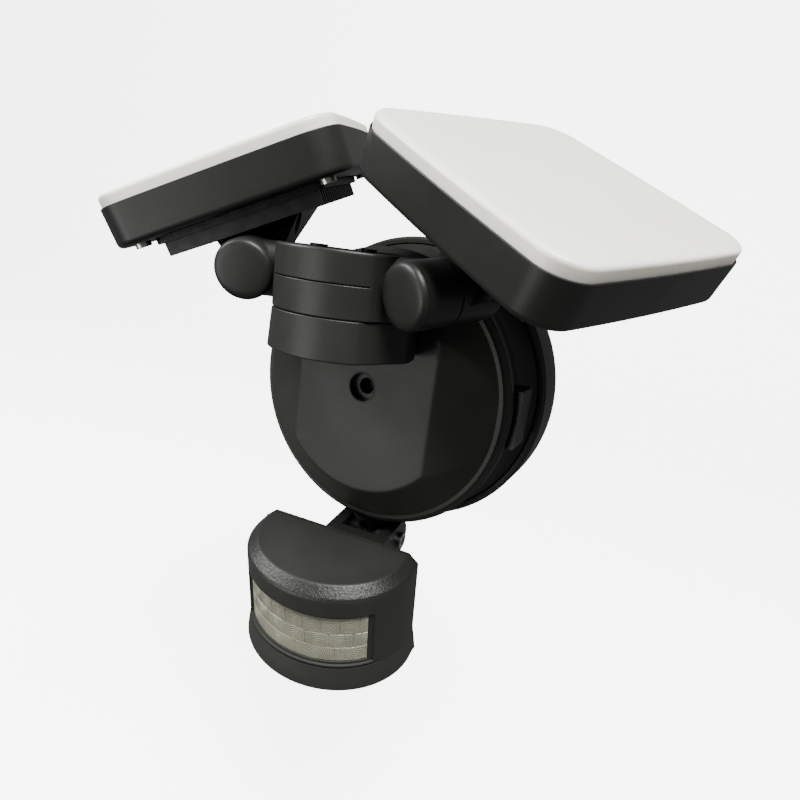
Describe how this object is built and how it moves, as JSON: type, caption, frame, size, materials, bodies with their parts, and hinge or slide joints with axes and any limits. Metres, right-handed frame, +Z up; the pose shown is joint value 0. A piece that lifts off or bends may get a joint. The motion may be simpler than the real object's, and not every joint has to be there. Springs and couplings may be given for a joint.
{
  "type": "wall flood light with motion sensor",
  "caption": "Wall flood light: square lamp heads on swivel arms over a round faceted base, with a motion sensor hanging below.",
  "frame": {"origin": "centre of the wall plate's rear face, on the wall", "axes": "+X to the right seen from the front, +Y into the wall, +Z up"},
  "size_m": [0.2427, 0.1181, 0.2235],
  "materials": {
    "body_plastic": "fine spark-eroded charcoal ABS",
    "hub_plastic": "fine spark-eroded charcoal ABS",
    "arm_plastic": "satin charcoal ABS",
    "clip_plastic": "satin charcoal polypropylene",
    "head_plastic": "satin charcoal ABS",
    "diffuser_acrylic": "opal acrylic",
    "sink_aluminium": "black anodised",
    "sensor_plastic": "spark-eroded charcoal ABS",
    "lens_polyethylene": "milky high density polyethylene with moulded Fresnel rings",
    "knob_plastic": "satin nylon",
    "seal_rubber": "closed cell EPDM",
    "washer_nylon": "natural nylon",
    "zinc_steel": "zinc plated",
    "terminal_plastic": "natural nylon",
    "board_laminate": "green solder mask",
    "white_board": "white solder mask on aluminium",
    "led_package": "phosphor under silicone",
    "transformer_core": "taped ferrite",
    "capacitor_can": "sleeved can",
    "element_can": "nickel plated can"
  },
  "bodies": {
    "base": {"wall_plate": "body_plastic", "wall_gasket": "seal_rubber", "cable_gland": "seal_rubber", "terminal_block": "terminal_plastic", "base_housing": "body_plastic", "driver_board": "board_laminate", "driver_transformer": "transformer_core", "driver_capacitors": "capacitor_can", "driver_screws": "zinc_steel", "front_cover": "body_plastic", "cover_screw": "zinc_steel", "hub_lower": "hub_plastic", "hub_cap": "hub_plastic", "hub_screws": "zinc_steel"},
    "right_clip": {"right_clip": "clip_plastic"},
    "right_arm": {"right_arm": "arm_plastic", "right_arm_cap": "arm_plastic", "right_tilt_washer": "washer_nylon", "right_tilt_bolt": "zinc_steel", "right_tilt_nut": "zinc_steel"},
    "right_head": {"right_bracket": "arm_plastic", "right_bracket_screws": "zinc_steel", "right_heat_sink": "sink_aluminium", "right_head_shell": "head_plastic", "right_head_gasket": "seal_rubber", "right_diffuser": "diffuser_acrylic", "right_head_screws": "zinc_steel", "right_led_board": "white_board", "right_led_chips": "led_package"},
    "left_clip": {"left_clip": "clip_plastic"},
    "left_arm": {"left_arm": "arm_plastic", "left_arm_cap": "arm_plastic", "left_tilt_washer": "washer_nylon", "left_tilt_bolt": "zinc_steel", "left_tilt_nut": "zinc_steel"},
    "left_head": {"left_bracket": "arm_plastic", "left_bracket_screws": "zinc_steel", "left_heat_sink": "sink_aluminium", "left_head_shell": "head_plastic", "left_head_gasket": "seal_rubber", "left_diffuser": "diffuser_acrylic", "left_head_screws": "zinc_steel", "left_led_board": "white_board", "left_led_chips": "led_package"},
    "sensor_arm": {"sensor_neck": "sensor_plastic"},
    "sensor_eye": {"sensor_front": "sensor_plastic", "sensor_back": "sensor_plastic", "sensor_lens": "lens_polyethylene", "sensor_screws": "zinc_steel", "sensor_bolt": "zinc_steel", "sensor_nut": "zinc_steel", "sensor_board": "board_laminate", "pyro_element": "element_can"},
    "lux_knob": {"lux_knob": "knob_plastic"},
    "time_knob": {"time_knob": "knob_plastic"}
  },
  "joints": [
    {"name": "right_arm_roll", "type": "hinge", "parent": "base", "child": "right_arm", "pos_m": [0.03584, -0.09027, 0.0463], "axis": [0.9135, -0.4067, 0], "range_deg": [0, 10]},
    {"name": "right_head_tilt", "type": "hinge", "parent": "right_arm", "child": "right_head", "pos_m": [0.03584, -0.09027, 0.0463], "axis": [0.4024, 0.9037, 0.1461], "range_deg": [0, 50]},
    {"name": "right_clip_press", "type": "slide", "parent": "base", "child": "right_clip", "axis": [-1, 0, 0], "range_m": [0, 0.0026], "stiffness_N_per_m": 2000},
    {"name": "left_arm_roll", "type": "hinge", "parent": "base", "child": "left_arm", "pos_m": [-0.03584, -0.09027, 0.0463], "axis": [0.9135, 0.4067, 0], "range_deg": [0, 10]},
    {"name": "left_head_tilt", "type": "hinge", "parent": "left_arm", "child": "left_head", "pos_m": [-0.03584, -0.09027, 0.0463], "axis": [0.4024, -0.9037, -0.1461], "range_deg": [0, 50]},
    {"name": "left_clip_press", "type": "slide", "parent": "base", "child": "left_clip", "axis": [1, 0, 0], "range_m": [0, 0.0026], "stiffness_N_per_m": 2000},
    {"name": "sensor_swivel", "type": "hinge", "parent": "base", "child": "sensor_arm", "pos_m": [0, -0.036, -0.055], "axis": [0, 0, 1], "range_deg": [-45, 45]},
    {"name": "sensor_tilt", "type": "hinge", "parent": "sensor_arm", "child": "sensor_eye", "pos_m": [0, -0.036, -0.0728], "axis": [0.9951, 0.0993, 0], "range_deg": [-10, 25]},
    {"name": "lux_knob_turn", "type": "hinge", "parent": "sensor_eye", "child": "lux_knob", "pos_m": [0.0184, -0.07942, -0.10707], "axis": [-0.0161, 0.1617, -0.9867], "range_deg": [-130, 130]},
    {"name": "time_knob_turn", "type": "hinge", "parent": "sensor_eye", "child": "time_knob", "pos_m": [-0.00946, -0.0822, -0.10707], "axis": [-0.0161, 0.1617, -0.9867], "range_deg": [-130, 130]}
  ]
}
